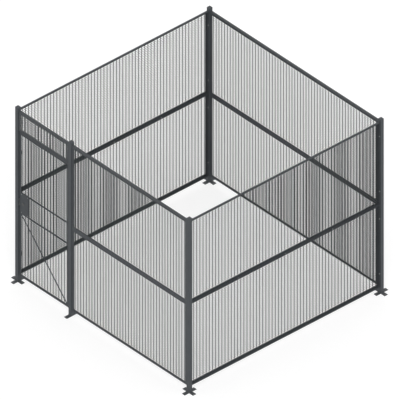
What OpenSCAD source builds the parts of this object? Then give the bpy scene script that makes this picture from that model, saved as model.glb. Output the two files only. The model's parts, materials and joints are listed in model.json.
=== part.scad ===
// Square wire mesh security cage with a hinged door.
// Frame: origin on the floor at the centre of the footprint, +Z up, +X along the door wall,
// and the outside of the door wall faces -Y.
// Each wall is drawn in its own local frame: x along the wall, +y into the cage, z up.

/* [Cage] */
// Clear width of a wall between its corner posts
bay_w = 3048; // [2200:1:3600]
// Clear width of the doorway
doorway_w = 914.4; // [800:0.1:1100]
// Gap between the floor and the panels
sweep_gap = 88.9; // [60:0.1:150]
// Height of the transom panel over the door
transom_h = 285.75; // [200:0.05:450]
// How far the posts stand above the panels
post_rise = 44.45; // [20:0.05:80]

/* [Posts and feet] */
// Outside width of the square post tube
post_w = 50.8; // [45:0.1:60]
// Wall of the post tube
post_wall = 2; // [1.5:0.1:4]
// Outside corner radius of the post tube
post_r = 3; // [1:0.1:5]
// Thickness of the cap's top plate
cap_t = 3; // [2:0.1:6]
// Depth of the cap's plug inside the tube
cap_plug_h = 12; // [6:0.5:25]
// Clearance round the cap's plug
cap_fit = 0.3; // [0.1:0.05:0.6]
// Length of a foot bar
foot_l = 190.5; // [150:0.1:240]
// Width of a foot bar
foot_w = 50.8; // [40:0.1:70]
// Thickness of a foot bar
foot_t = 6.35; // [4:0.05:12]
// Diameter of the floor anchor holes
anchor_d = 11.1; // [8:0.1:14]
// Distance from a foot bar's end to its anchor hole
anchor_inset = 19.05; // [14:0.05:26]

/* [Angle frames] */
// Leg of the angle bar
angle_leg = 31.75; // [30:0.05:38]
// Thickness of the angle bar
angle_t = 3.175; // [2:0.005:4]
// Gap at each weld mitre
mitre_gap = 0.2; // [0.1:0.05:0.5]

/* [Wire mesh] */
// Spacing of the upright wires
pitch_x = 50.8; // [30:0.1:80]
// Spacing of the level wires
pitch_z = 25.4; // [15:0.1:60]
// Diameter of the upright wires
upright_d = 8; // [3:0.1:8.5]
// Diameter of the level wires
level_d = 6; // [3:0.1:6.5]
// Gap between the angle bar's web and the upright wires
wire_set = 1; // [0.5:0.1:1.5]
// Gap between the two layers of wire
layer_gap = 0.1; // [0.05:0.05:0.3]
// Width of the edge bar that ties the wire ends together
edge_w = 8; // [5:0.5:12]
// Gap between the edge bar and the angle bars
edge_fit = 0.3; // [0.2:0.05:0.6]

/* [Panel fasteners] */
// Diameter of the panel bolts
bolt_d = 6; // [5:0.1:6.5]
// Width across the flats of bolt heads and nuts
hex_af = 10; // [8:0.1:10.5]
// Height of a bolt head
head_h = 4; // [3:0.1:6]
// Height of a nut
nut_h = 5; // [3:0.1:7]
// Diameter of the flange under a bolt head
flange_d = 12; // [10:0.1:12.5]
// Thickness of the flange under a bolt head
flange_t = 1.2; // [0.8:0.1:2]
// Radial clearance of a bolt in an angle bar
hole_gap = 0.5; // [0.3:0.05:1]
// Distance of the bolts from the middle plane of the posts
bolt_y = 9.4; // [9:0.1:9.6]
// Distance of the post bolts from a panel's top and bottom
bolt_end = 203.2; // [60:0.1:400]
// Distance of the post bolts from the transom's top and bottom
transom_bolt_end = 63.5; // [50:0.1:100]
// Reach of a bolt inside the post
bolt_reach = 10; // [6:0.5:10.5]
// Outside diameter of the threaded inserts in the posts
insert_d = 9; // [8.5:0.1:9.4]
// Length of a threaded insert inside the post
insert_l = 10.8; // [8:0.1:11]
// Diameter of an insert's flange
insert_flange_d = 13; // [11:0.1:16]
// Thickness of an insert's flange, the gap between post and panel
insert_flange_t = 1.5; // [1:0.1:2.5]
// Radial clearance of threads and of inserts
thread_gap = 0.05; // [0.03:0.01:0.1]
// Spacing of the bolts that join two stacked panels
splice_pitch = 762; // [400:1:1000]

/* [Door leaf] */
// Height of the door leaf
leaf_h = 2133.6; // [2050:0.1:2200]
// Gap between the leaf and the post at each side
leaf_gap = 6.35; // [6:0.05:8]
// Gap between the leaf and the transom
head_gap = 19.05; // [8:0.05:40]
// Width of the flat bars across the leaf
bar_w = 19.05; // [12:0.05:30]
// Height of the lower bar's middle above the leaf's bottom
bar_low = 939.8; // [850:0.1:1050]
// Distance between the middles of the two bars
bar_span = 304.8; // [280:0.1:360]

/* [Hinges] */
// Height of the middle of the lowest hinge above the leaf's bottom
hinge_low = 228.6; // [150:0.1:300]
// Distance from one hinge to the next
hinge_step = 838.2; // [600:0.1:880]
// Height of a hinge
hinge_h = 101.6; // [76:0.1:127]
// Thickness of a hinge leaf
hinge_t = 2.5; // [2:0.1:2.7]
// How far a hinge leaf reaches along the post's side
hinge_reach = 20; // [14:0.5:30]
// Outside radius of the knuckles
knuckle_r = 6; // [5.2:0.1:8]
// Radius of the hinge pin
pin_r = 3; // [2.5:0.1:3.5]
// Radial clearance of the pin in the knuckles
pin_gap = 0.05; // [0.03:0.01:0.1]
// Gap between two knuckles
knuckle_gap = 0.4; // [0.3:0.05:1]
// Diameter of the hinge screws
hinge_screw_d = 5; // [4:0.1:5.5]
// Distance of the outer screws from the middle of a hinge
hinge_screw_step = 33; // [25:0.5:42]
// Distance of the hinge screws from the posts' inner face
hinge_screw_in = 6.4; // [5.8:0.1:7]
// Length of the hinge screws
hinge_screw_l = 12; // [8:0.5:16]

/* [Lock] */
// Width of the lock cover, from the stile to its far edge
cover_w = 127; // [110:0.5:160]
// Depth of the lock case behind the leaf's web
case_d = 23; // [22:0.1:26]
// Wall of the lock case
case_t = 2; // [1.2:0.1:2.5]
// Distance from the leaf's edge to the spindle
backset = 70; // [66:0.5:90]
// Travel of the deadbolt
bolt_throw = 19; // [16:0.5:20]
// Height of the deadbolt
deadbolt_h = 25.4; // [18:0.1:32]
// Thickness of the deadbolt
deadbolt_t = 10; // [8:0.1:10.2]
// Length of the deadbolt's solid end
deadbolt_l = 45; // [42:0.5:50]
// Clearance round the deadbolt in its slots
slide_gap = 0.3; // [0.2:0.05:0.6]
// Radius of the spindle
spindle_r = 4; // [3:0.1:4.5]
// Thickness of the deadbolt's tail plate and of the crank
tail_t = 3; // [2:0.1:3.2]
// Radius of the crank's pin
crank_pin_r = 2.5; // [2:0.1:3]
// Play of the crank's pin in its slot
crank_play = 0.6; // [0.5:0.05:1]
// Radius of the lock cylinder's body
cylinder_r = 14; // [12:0.1:16]
// Radius of the lock cylinder's collar
collar_r = 18; // [17:0.1:22]
// Height of the collar above the cover
collar_h = 5; // [3:0.1:8]
// Radius of the key plug
plug_r = 6.5; // [5.5:0.1:8]
// Radius of the rose under the thumb turn
rose_r = 20; // [16:0.5:26]
// Thickness of the rose
rose_t = 2; // [1:0.1:3]
// Radius of the thumb turn's hub
turn_r = 12; // [9:0.5:15]
// Length of the thumb turn's wing
turn_l = 36; // [28:0.5:44]
// Thickness of the thumb turn's wing
turn_t = 7; // [5:0.1:9]
// Height of the thumb turn above the rose
turn_h = 20; // [14:0.5:24]

/* [Strike and stops] */
// Height of the strike plate
strike_h = 101.6; // [80:0.1:130]
// Width of the strike plate
strike_w = 28; // [22:0.5:28.5]
// Thickness of the strike plate
strike_t = 2; // [1.2:0.1:3]
// Height of a stop clip
clip_h = 50; // [35:0.5:80]
// Thickness of a stop clip
clip_t = 3; // [2:0.1:4]
// Lap of a stop clip over the post
clip_lap = 7; // [5:0.1:8]
// Distance of the stop clips from the leaf's top and bottom
clip_end = 320; // [200:1:500]
// Thickness of the rubber bumper on a stop clip
bumper_t = 3; // [2:0.1:4]
// Gap between a bumper and the post when the door is shut
bumper_gap = 0.3; // [0.2:0.05:0.8]
// Diameter of the small screws
screw_d = 4; // [3:0.1:4.5]
// Diameter of the small screws' heads
screw_head_d = 8; // [6.5:0.1:8.5]
// Height of the small screws' heads
screw_head_h = 2.2; // [1.5:0.1:2.6]

/* [Hidden] */
$fn = 32;
eps = 1;
steel = [0.28, 0.29, 0.30];
steel_dark = [0.20, 0.21, 0.22];
zinc = [0.66, 0.67, 0.68];
satin = [0.72, 0.72, 0.70];
black_nickel = [0.30, 0.30, 0.30];
rubber = [0.08, 0.08, 0.08];

half = (bay_w + post_w) / 2;
// Two panels are stacked to the height of the door and its transom
panel_h = (leaf_h + head_gap + transom_h) / 2;
panels_top = sweep_gap + 2 * panel_h;
post_top = panels_top + post_rise;
jamb_x = -half + post_w + doorway_w;
bore_n = 48;

// Panels: clear of the posts by the flange of the threaded inserts
wall_panel_w = bay_w - 2 * insert_flange_t;
side_panel_w = bay_w - doorway_w - post_w - 2 * insert_flange_t;
side_panel_x = jamb_x + post_w / 2 + insert_flange_t;
transom_w = doorway_w - 2 * insert_flange_t;
leaf_z = sweep_gap;
leaf_top = leaf_z + leaf_h;
transom_z = leaf_top + head_gap;
panel_y = -angle_leg / 2;

// Wire mesh layers, measured from the outer face of the angle frame's web
upright_y = angle_t + wire_set + upright_d / 2;
level_y = upright_y + upright_d / 2 + layer_gap + level_d / 2;
edge_over = 0.5;
edge_d = wire_set + upright_d + layer_gap + level_d + edge_over;
edge_in = angle_t + edge_fit + edge_w;

// Door leaf: flush with the inner face of the posts
leaf_x = -half + post_w / 2 + leaf_gap;
leaf_w = doorway_w - 2 * leaf_gap;
leaf_y = post_w / 2 - angle_leg;
web_y = leaf_y + angle_t;
bar_low_z = leaf_z + bar_low;
bar_high_z = bar_low_z + bar_span;
lock_z = (bar_low_z + bar_high_z) / 2;
lock_h = bar_span - bar_w;

// Hinges: the pin stands just inside the inner face of the posts
pin_x = leaf_x + leaf_w + leaf_gap / 2;
pin_y = post_w / 2 + knuckle_r;
hinge_levels = [for (k = [0:2]) leaf_z + hinge_low + k * hinge_step];
knuckles = 5;
knuckle_h = (hinge_h - (knuckles - 1) * knuckle_gap) / knuckles;

// Lock: x from the leaf's latch edge, z from the middle of the lock
case_end = angle_leg + cover_w;
case_back = web_y + case_d;
bolt_depth = 11.2;
lock_gap = 1;
bolt_mid_y = web_y + bolt_depth;
crank_y = bolt_mid_y + tail_t / 2 + lock_gap;
crank_r = bolt_throw / 2 / sin(45);
cylinder_back = bolt_mid_y - deadbolt_t / 2 + lock_gap;
plug_gap = 0.05;
tail_root = 5;
boss_wall = 2.5;
boss_r = screw_d / 2 + boss_wall;
boss_inset = boss_r + case_t + boss_wall;
cover_screw_l = 10;
strike_screw_out = 6;
guide_wall = 6;
hub_bore = turn_h / 3;

// Stops: x from the leaf's latch edge
clip_y = post_w / 2 + bumper_gap + bumper_t;
clip_x0 = -leaf_gap - clip_lap;
clip_levels = [leaf_z + clip_end, leaf_top - clip_end];

// Every row of bolts between a post and a panel: wall, post's place, side, heights
panel_levels = [for (k = [0, 1]) for (s = [bolt_end, panel_h - bolt_end]) sweep_gap + k * panel_h + s];
transom_levels = [transom_z + transom_bolt_end, transom_z + transom_h - transom_bolt_end];
row_front = [0, half, -1, panel_levels];
row_jamb = [0, jamb_x, 1, panel_levels];
row_transom_latch = [0, -half, 1, transom_levels];
row_transom_jamb = [0, jamb_x, -1, transom_levels];
wall_rows = [for (i = [1:3]) for (s = [-1, 1]) [i, s * half, -s, panel_levels]];
all_rows = concat(wall_rows, [row_front, row_jamb, row_transom_latch, row_transom_jamb]);

// ---- Helpers -------------------------------------------------------------------------------

// Puts a wall's local frame in place: 0 door wall, 1 right, 2 back, 3 left
module on_wall(i) {
    rotate([0, 0, 90 * i]) translate([0, -half, 0]) children();
}

// A wall's frame as its panels see it: y runs from a panel's web to its open side.
// The right and back walls' panels are turned round, so that their webs face the cage.
module on_panels(i) {
    on_wall(i) mirror([0, i == 1 || i == 2 ? 1 : 0, 0]) children();
}

// Box from one corner to the opposite one
module block(low, high) {
    translate(low) cube(high - low);
}

// Turns a shape made along +z so that it runs along +x
module along_x() {
    rotate([0, 90, 0]) children();
}

// Turns a shape made along +z so that it runs along +y
module along_y() {
    rotate([-90, 0, 0]) children();
}

// Outline of a square with rounded corners
function rounded_square(w, r) = [
    for (q = [0:3]) for (k = [0:3])
        let (a = 90 * q + 30 * k, s = w / 2 - r, m = 90 * q + 45)
        [s * sign(cos(m)) + r * cos(a), s * sign(sin(m)) + r * sin(a)]
];

// Plate in the wall's plane, from its outline in x and z, y0 outward face
module wall_plate(points, y0, t) {
    translate([0, y0 + t, 0]) rotate([90, 0, 0]) linear_extrude(t) polygon(points);
}

// ---- Posts, caps and feet ------------------------------------------------------------------

module tube() {
    translate([0, 0, foot_t]) linear_extrude(post_top - cap_t - foot_t) difference() {
        polygon(rounded_square(post_w, post_r));
        square(post_w - 2 * post_wall, center = true);
    }
}

// Children at each bolt of one row, pointing from the post's face into the bay
module at_row(row) {
    on_panels(row[0]) translate([row[1], 0, 0]) mirror([row[2] < 0 ? 1 : 0, 0, 0])
        for (z = row[3]) translate([post_w / 2, bolt_y, z]) along_x() children();
}

// Tapped hole of depth h for a screw of diameter d
module screw_hole(d, h) {
    cylinder(r = d / 2 + thread_gap, h = h);
}

// Clearance hole for a small screw through a plate of thickness t
module clear_hole(t) {
    translate([0, 0, -eps]) cylinder(r = screw_d / 2 + hole_gap, h = t + 2 * eps);
}

module insert_hole() {
    translate([0, 0, -post_wall - eps]) cylinder(r = insert_d / 2 + thread_gap, h = post_wall + 2 * eps);
}

// Post of a corner, at the left end of wall i, with the insert holes of both walls
module corner_post(i, rows) {
    color(steel) difference() {
        on_wall(i) translate([-half, 0, 0]) tube();
        for (row = rows) at_row(row) insert_hole();
    }
}

module post_left() {
    color(steel) difference() {
        corner_post(0, [row_transom_latch, [3, half, -1, panel_levels]]);
        at_lock() strike_slot(post_wall + eps);
        at_lock() at_strike_screws() screw_hole(screw_d, strike_t + post_wall + eps);
    }
}

module post_front() { corner_post(1, [row_front, [1, -half, 1, panel_levels]]); }
module post_right() { corner_post(2, [[1, half, -1, panel_levels], [2, -half, 1, panel_levels]]); }
module post_back() { corner_post(3, [[2, half, -1, panel_levels], [3, -half, 1, panel_levels]]); }

module post_jamb() {
    color(steel) difference() {
        on_wall(0) translate([jamb_x, 0, 0]) tube();
        at_row(row_jamb) insert_hole();
        at_row(row_transom_jamb) insert_hole();
        on_wall(0) at_hinge_screws(1) screw_hole(hinge_screw_d, hinge_t + post_wall + eps);
    }
}

module post_caps() {
    plug_w = post_w - 2 * post_wall - 2 * cap_fit;
    corners = [for (x = [-half, half]) for (y = [-half, half]) [x, y]];
    places = concat(corners, [[jamb_x, -half]]);
    color(steel_dark) for (p = places) translate([p[0], p[1], post_top - cap_t]) union() {
        linear_extrude(cap_t) polygon(rounded_square(post_w, post_r));
        translate([0, 0, -cap_plug_h]) linear_extrude(cap_plug_h + cap_t / 2) square(plug_w, center = true);
    }
}

module foot_bar_2d(turned) {
    rotate(turned) square([foot_l, foot_w], center = true);
}

module anchor_holes(angles) {
    for (a = angles) rotate(a) translate([foot_l / 2 - anchor_inset, 0, -eps])
        cylinder(d = anchor_d, h = foot_t + 2 * eps, $fn = bore_n);
}

// Two flat bars crossed under a corner post
module corner_foot(i) {
    color(steel_dark) on_wall(i) translate([-half, 0, 0]) difference() {
        union() {
            linear_extrude(foot_t) foot_bar_2d(0);
            linear_extrude(foot_t) foot_bar_2d(90);
        }
        anchor_holes([0, 90, 180, 270]);
    }
}

module foot_left() { corner_foot(0); }
module foot_front() { corner_foot(1); }
module foot_right() { corner_foot(2); }
module foot_back() { corner_foot(3); }

// One flat bar across the wall under the jamb post
module foot_jamb() {
    color(steel_dark) on_wall(0) translate([jamb_x, 0, 0]) difference() {
        linear_extrude(foot_t) foot_bar_2d(90);
        anchor_holes([90, 270]);
    }
}

// ---- Angle frames --------------------------------------------------------------------------

// Plate l long and h high with both ends cut at 45 degrees
module mitred_plate(l, h, y0, t) {
    g = mitre_gap;
    wall_plate([[g, 0], [l - g, 0], [l - g - h, h], [g + h, h]], y0, t);
}

// One mitred angle bar along +x, web in the wall's plane, flange towards +y at z = 0
module angle_bar(l, y0) {
    union() {
        mitred_plate(l, angle_leg, y0, angle_t);
        mitred_plate(l, angle_t, y0, angle_leg);
    }
}

// Four mitred bars round a panel, from its lower left corner
module angle_frame(w, h, y0) {
    angle_bar(w, y0);
    translate([0, 0, h]) mirror([0, 0, 1]) angle_bar(w, y0);
    mirror([1, 0, -1]) angle_bar(h, y0);
    translate([w, 0, 0]) mirror([1, 0, 0]) mirror([1, 0, -1]) angle_bar(h, y0);
}

function splice_places(w) =
    let (n = floor((w - splice_pitch / 2) / splice_pitch))
    [for (k = [0:n - 1]) w / 2 + (k - (n - 1) / 2) * splice_pitch];

// Bolt holes through both stiles of a panel
module stile_holes(w, levels) {
    r = bolt_d / 2 + hole_gap;
    for (x = [angle_t / 2, w - angle_t / 2]) for (z = levels)
        translate([x, bolt_y, z]) along_x() cylinder(r = r, h = angle_t + eps, center = true);
}

// Bolt holes through one rail of a panel
module rail_holes(w, z) {
    for (x = splice_places(w)) translate([x, bolt_y, z])
        cylinder(r = bolt_d / 2 + hole_gap, h = angle_t + eps, center = true);
}

// Lower panels (level 0) are joined at their top rail, upper ones (level 1) at their bottom rail
module panel_frame(wall, x0, w, level) {
    color(steel) on_panels(wall) translate([x0, 0, sweep_gap + level * panel_h]) difference() {
        angle_frame(w, panel_h, panel_y);
        stile_holes(w, [bolt_end, panel_h - bolt_end]);
        rail_holes(w, level == 0 ? panel_h - angle_t / 2 : angle_t / 2);
    }
}

// ---- Wire mesh -----------------------------------------------------------------------------

function wire_places(span, pitch) =
    let (n = floor((span - 2 * edge_in) / pitch))
    [for (k = [0:n - 1]) span / 2 + (k - (n - 1) / 2) * pitch];

// Flat rectangular ring in the wall's plane
module edge_ring(low, high, y0) {
    translate([0, y0 + edge_d, 0]) rotate([90, 0, 0]) linear_extrude(edge_d) difference() {
        translate(low) square(high - low);
        translate(low + [edge_w, edge_w]) square(high - low - 2 * [edge_w, edge_w]);
    }
}

// Edge bar and both layers of wire of a frame w by h, wire ends let into the edge bar
module wire_grid(w, h, y0) {
    ring = angle_t + edge_fit;
    end = ring + edge_w / 2;
    edge_ring([ring, ring], [w - ring, h - ring], y0 + angle_t);
    for (x = wire_places(w, pitch_x))
        translate([x, y0 + upright_y, end]) cylinder(d = upright_d, h = h - 2 * end);
    for (z = wire_places(h, pitch_z))
        translate([end, y0 + level_y, z]) along_x() cylinder(d = level_d, h = w - 2 * end);
}

module panel_mesh(wall, x0, w, level) {
    color(steel_dark) on_panels(wall) translate([x0, 0, sweep_gap + level * panel_h])
        union() wire_grid(w, panel_h, panel_y);
}

// ---- Wall panels ---------------------------------------------------------------------------

module right_lower_frame() { panel_frame(1, -wall_panel_w / 2, wall_panel_w, 0); }
module right_upper_frame() { panel_frame(1, -wall_panel_w / 2, wall_panel_w, 1); }
module right_lower_mesh() { panel_mesh(1, -wall_panel_w / 2, wall_panel_w, 0); }
module right_upper_mesh() { panel_mesh(1, -wall_panel_w / 2, wall_panel_w, 1); }
module back_lower_frame() { panel_frame(2, -wall_panel_w / 2, wall_panel_w, 0); }
module back_upper_frame() { panel_frame(2, -wall_panel_w / 2, wall_panel_w, 1); }
module back_lower_mesh() { panel_mesh(2, -wall_panel_w / 2, wall_panel_w, 0); }
module back_upper_mesh() { panel_mesh(2, -wall_panel_w / 2, wall_panel_w, 1); }
module left_lower_frame() { panel_frame(3, -wall_panel_w / 2, wall_panel_w, 0); }
module left_upper_frame() { panel_frame(3, -wall_panel_w / 2, wall_panel_w, 1); }
module left_lower_mesh() { panel_mesh(3, -wall_panel_w / 2, wall_panel_w, 0); }
module left_upper_mesh() { panel_mesh(3, -wall_panel_w / 2, wall_panel_w, 1); }
module front_lower_frame() { panel_frame(0, side_panel_x, side_panel_w, 0); }
module front_upper_frame() { panel_frame(0, side_panel_x, side_panel_w, 1); }
module front_lower_mesh() { panel_mesh(0, side_panel_x, side_panel_w, 0); }
module front_upper_mesh() { panel_mesh(0, side_panel_x, side_panel_w, 1); }

module at_transom() {
    on_wall(0) translate([-half + post_w / 2 + insert_flange_t, 0, transom_z]) children();
}

module transom_frame() {
    color(steel) at_transom() difference() {
        angle_frame(transom_w, transom_h, panel_y);
        stile_holes(transom_w, [transom_bolt_end, transom_h - transom_bolt_end]);
    }
}

module transom_mesh() {
    color(steel_dark) at_transom() union() wire_grid(transom_w, transom_h, panel_y);
}

// ---- Panel fasteners -----------------------------------------------------------------------

// Hexagon prism, across flats
module hexagon(h) {
    cylinder(d = hex_af / cos(30), h = h, $fn = 6);
}

// Flange bolt: its head sits on the plane z = 0 and its shank reaches down by l
module flange_bolt(l) {
    translate([0, 0, flange_t / 2]) hexagon(head_h);
    cylinder(d = flange_d, h = flange_t);
    translate([0, 0, -l]) cylinder(d = bolt_d, h = l + flange_t / 2);
}

module panel_bolts() {
    seat = insert_flange_t + angle_t;
    color(zinc) for (row = all_rows) at_row(row) translate([0, 0, seat])
        union() flange_bolt(seat + bolt_reach);
}

module panel_inserts() {
    color(zinc) for (row = all_rows) at_row(row) difference() {
        union() {
            cylinder(d = insert_flange_d, h = insert_flange_t);
            translate([0, 0, -insert_l]) cylinder(d = insert_d, h = insert_l + insert_flange_t / 2);
        }
        translate([0, 0, -insert_l - eps])
            cylinder(r = bolt_d / 2 + thread_gap, h = insert_l + insert_flange_t + 2 * eps);
    }
}

// Children at each bolt between two stacked panels, z = 0 on the joint
module at_splices() {
    for (i = [0:3]) on_panels(i) {
        w = i == 0 ? side_panel_w : wall_panel_w;
        x0 = i == 0 ? side_panel_x : -wall_panel_w / 2;
        for (x = splice_places(w)) translate([x0 + x, bolt_y, sweep_gap + panel_h]) children();
    }
}

module splice_bolts() {
    tip = 2;
    color(zinc) at_splices() translate([0, 0, angle_t]) union() flange_bolt(2 * angle_t + nut_h + tip);
}

module splice_nuts() {
    color(zinc) at_splices() translate([0, 0, -angle_t - nut_h]) difference() {
        hexagon(nut_h);
        translate([0, 0, -eps]) cylinder(r = bolt_d / 2 + thread_gap, h = nut_h + 2 * eps);
    }
}

// ---- Door leaf -----------------------------------------------------------------------------

// Children at the leaf's latch edge, at height z
module at_latch(z) {
    on_wall(0) translate([leaf_x, 0, z]) children();
}

module at_lock() { at_latch(lock_z) children(); }

module door_frame() {
    color(steel) difference() {
        at_latch(leaf_z) angle_frame(leaf_w, leaf_h, leaf_y);
        at_lock() bolt_slot(-eps, angle_t + eps);
        on_wall(0) at_hinge_screws(-1) screw_hole(hinge_screw_d, hinge_t + angle_t + eps);
        at_clip_screws() clear_hole(angle_t);
    }
}

// The mesh is cut away for the lock case, and the cut has an edge bar of its own
module door_mesh() {
    low = [angle_t + edge_fit, bar_low];
    high = [angle_leg + cover_w + edge_fit, bar_low + bar_span];
    room = (bar_span - lock_h) / 2 - edge_fit;
    color(steel_dark) at_latch(leaf_z) difference() {
        union() {
            wire_grid(leaf_w, leaf_h, leaf_y);
            edge_ring(low + [0, room - edge_w], high + [edge_w, edge_w - room], web_y);
        }
        block([0, leaf_y, low[1] + room], [high[0], leaf_y + 2 * angle_leg, high[1] - room]);
    }
}

module door_bar(z) {
    color(steel) at_latch(z)
        block([angle_leg, leaf_y, -bar_w / 2], [leaf_w - angle_leg, web_y, bar_w / 2]);
}

module door_bar_upper() { door_bar(bar_high_z); }
module door_bar_lower() { door_bar(bar_low_z); }

// Diagonal from the lower bar at the latch stile to the bottom rail at the hinge stile
module door_brace() {
    run = leaf_w - 2 * angle_leg;
    rise = bar_low - bar_w / 2 - angle_leg;
    l = sqrt(run * run + rise * rise);
    color(steel) at_latch(leaf_z) translate([angle_leg, leaf_y, angle_leg]) intersection() {
        cube([run, angle_t, rise]);
        translate([0, 0, rise]) rotate([0, atan2(rise, run), 0])
            block([-bar_w, -eps, -bar_w / 2], [l + bar_w, angle_t + eps, bar_w / 2]);
    }
}

// ---- Hinges --------------------------------------------------------------------------------

// Children at each hinge screw, z towards the piece it is driven into:
// side 1 the jamb post, side -1 the leaf
module at_hinge_screws(side) {
    x = side > 0 ? pin_x + leaf_gap / 2 - hinge_t : pin_x - leaf_gap / 2 + hinge_t;
    for (level = hinge_levels) for (k = [-1:1])
        translate([x, post_w / 2 - hinge_screw_in, level + k * hinge_screw_step])
            rotate([0, 90 * side, 0]) children();
}

module knuckle(k, r, grow) {
    translate([pin_x, pin_y, -hinge_h / 2 + k * (knuckle_h + knuckle_gap) - grow])
        cylinder(r = r, h = knuckle_h + 2 * grow, $fn = bore_n);
}

// One leaf of a hinge about z = 0: side 1 lies on the post, side -1 on the door
module hinge_leaf(side) {
    own = side > 0 ? [0, 2, 4] : [1, 3];
    other = side > 0 ? [1, 3] : [0, 2, 4];
    x = side > 0 ? pin_x + leaf_gap / 2 - hinge_t : pin_x - leaf_gap / 2;
    difference() {
        union() {
            difference() {
                block([x, post_w / 2 - hinge_reach, -hinge_h / 2], [x + hinge_t, pin_y, hinge_h / 2]);
                for (k = other) knuckle(k, knuckle_r + knuckle_gap, knuckle_gap);
            }
            for (k = own) knuckle(k, knuckle_r, 0);
        }
        translate([pin_x, pin_y, -hinge_h]) cylinder(r = pin_r + pin_gap, h = 2 * hinge_h, $fn = bore_n);
    }
}

module hinge_leaves(side) {
    d = hinge_screw_d;
    sink_gap = 0.15;
    color(zinc) on_wall(0) difference() {
        for (level = hinge_levels) translate([0, 0, level]) hinge_leaf(side);
        at_hinge_screws(side) cylinder(r1 = d + sink_gap, r2 = d / 2 + sink_gap, h = hinge_t);
        at_hinge_screws(side) translate([0, 0, -eps]) cylinder(r = d + sink_gap, h = eps);
        at_hinge_screws(side) cylinder(r = d / 2 + sink_gap, h = hinge_t + eps);
    }
}

module hinge_jamb_leaves() { hinge_leaves(1); }
module hinge_door_leaves() { hinge_leaves(-1); }

module hinge_pins() {
    rim = 1.5;
    ends = [-rim - knuckle_gap, hinge_h + knuckle_gap];
    color(satin) on_wall(0) for (level = hinge_levels)
        translate([pin_x, pin_y, level - hinge_h / 2]) union() {
            translate([0, 0, ends[0]]) cylinder(r = pin_r, h = ends[1] + rim - ends[0], $fn = bore_n);
            for (z = ends) translate([0, 0, z]) cylinder(r = pin_r + rim, h = rim, $fn = bore_n);
        }
}

// Countersunk screws, flush with the hinge leaf
module hinge_screws(side) {
    d = hinge_screw_d;
    color(zinc) on_wall(0) at_hinge_screws(side) union() {
        cylinder(d1 = 2 * d, d2 = d, h = hinge_t);
        cylinder(d = d, h = hinge_screw_l);
    }
}

module hinge_jamb_screws() { hinge_screws(1); }
module hinge_door_screws() { hinge_screws(-1); }

// ---- Lock ----------------------------------------------------------------------------------

// Slot for the deadbolt between two places along the wall
module bolt_slot(x0, x1) {
    t = deadbolt_t / 2 + slide_gap;
    h = deadbolt_h / 2 + slide_gap;
    block([x0, bolt_mid_y - t, -h], [x1, bolt_mid_y + t, h]);
}

module strike_slot(depth) {
    bolt_slot(-leaf_gap - depth, -leaf_gap + strike_t + eps);
}

// Children at the four cover screws, z pointing into the case
module at_cover_screws() {
    for (x = [angle_leg + boss_inset, case_end - boss_inset]) for (s = [-1, 1])
        translate([x, leaf_y, s * (lock_h / 2 - boss_inset)]) along_y() children();
}

// Tray open towards the cover, with four threaded bosses
module lock_case() {
    t = case_t;
    color(steel) at_lock() difference() {
        union() {
            difference() {
                block([angle_t, web_y, -lock_h / 2], [case_end, case_back, lock_h / 2]);
                block([angle_t + t, web_y - eps, t - lock_h / 2],
                      [case_end - t, case_back - t, lock_h / 2 - t]);
            }
            at_cover_screws() translate([0, 0, angle_t]) cylinder(r = boss_r, h = case_d - t / 2);
        }
        at_cover_screws() cylinder(r = screw_d / 2 + thread_gap, h = angle_t + case_d - 2 * t);
        bolt_slot(angle_t - eps, angle_t + t + eps);
        translate([backset, case_back - t - eps, 0]) along_y()
            cylinder(r = spindle_r + plug_gap, h = t + 2 * eps, $fn = bore_n);
    }
}

module lock_cover() {
    color(steel) at_lock() difference() {
        block([angle_leg, leaf_y, -lock_h / 2], [case_end, web_y, lock_h / 2]);
        at_cover_screws() clear_hole(angle_t);
        translate([backset, leaf_y - eps, 0]) along_y()
            cylinder(r = cylinder_r + thread_gap, h = angle_t + 2 * eps, $fn = bore_n);
    }
}

// Pan head screw: its head sits on z = 0 from below, its shank reaches up by l
module pan_screw(l) {
    translate([0, 0, -screw_head_h]) cylinder(d = screw_head_d, h = screw_head_h);
    translate([0, 0, -screw_head_h / 2]) cylinder(d = screw_d, h = screw_head_h / 2 + l);
}

module cover_screws() {
    color(zinc) at_lock() at_cover_screws() union() pan_screw(angle_t + cover_screw_l);
}

module lock_cylinder() {
    color(black_nickel) at_lock() translate([backset, 0, 0]) difference() {
        union() {
            translate([0, leaf_y - collar_h, 0]) along_y() cylinder(r = collar_r, h = collar_h, $fn = bore_n);
            translate([0, leaf_y - collar_h / 2, 0]) along_y()
                cylinder(r = cylinder_r, h = cylinder_back - leaf_y + collar_h / 2, $fn = bore_n);
        }
        translate([0, leaf_y - collar_h - eps, 0]) along_y()
            cylinder(r = plug_r + plug_gap, h = cylinder_back - leaf_y + collar_h + 2 * eps, $fn = bore_n);
    }
}

module cylinder_nut() {
    t = cylinder_back - web_y - lock_gap / 2;
    color(zinc) at_lock() translate([backset, web_y, 0]) along_y() difference() {
        cylinder(r = collar_r, h = t);
        translate([0, 0, -eps]) cylinder(r = cylinder_r + thread_gap, h = t + 2 * eps, $fn = bore_n);
    }
}

// Plug with its keyway
module key_plug() {
    key_w = 2;
    key_h = 8;
    key_deep = 7;
    color(black_nickel) at_lock() translate([backset, leaf_y - collar_h, 0]) difference() {
        along_y() cylinder(r = plug_r, h = cylinder_back + lock_gap - leaf_y + collar_h, $fn = bore_n);
        block([-key_w / 2, -eps, -key_h / 2], [key_w / 2, key_deep, key_h / 2]);
    }
}

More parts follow.
